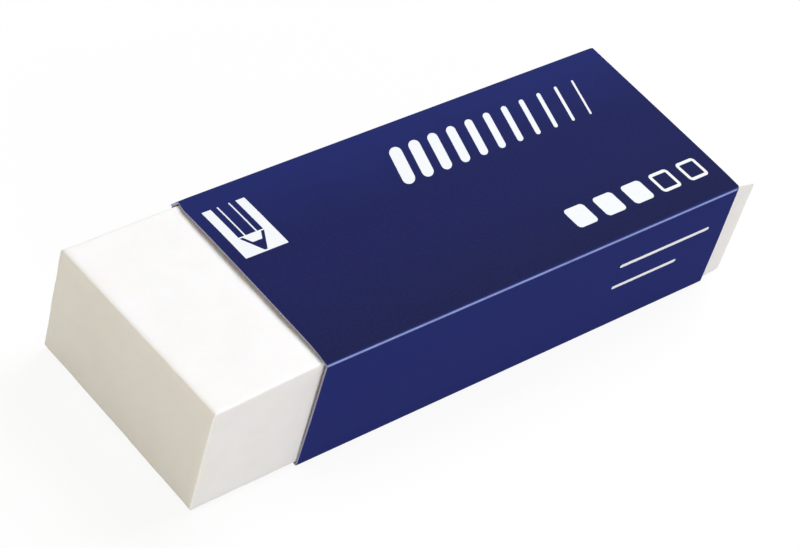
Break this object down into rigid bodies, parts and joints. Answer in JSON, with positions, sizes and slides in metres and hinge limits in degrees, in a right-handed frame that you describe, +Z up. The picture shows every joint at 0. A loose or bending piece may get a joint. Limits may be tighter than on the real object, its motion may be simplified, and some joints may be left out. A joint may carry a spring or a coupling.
{
  "type": "plastic eraser",
  "caption": "White vinyl eraser block, long and flat, that slides in a folded card sleeve with a glued side lap; one end stands out to rub with.",
  "frame": {"origin": "under the middle of the part, on the surface that the sleeve lies on", "axes": "+X from the working end of the block to its rear end, +Y to the side with the glued lap, +Z up"},
  "size_m": [0.065, 0.022, 0.0128],
  "materials": {
    "vinyl": "matte",
    "printed_card": "satin"
  },
  "bodies": {
    "sleeve": {"card_sleeve": "printed_card"},
    "eraser": {"eraser_block": "vinyl"}
  },
  "joints": [
    {"name": "block_slide", "type": "slide", "parent": "sleeve", "child": "eraser", "axis": [-1, 0, 0], "range_m": [-0.0114, 0.054]}
  ]
}
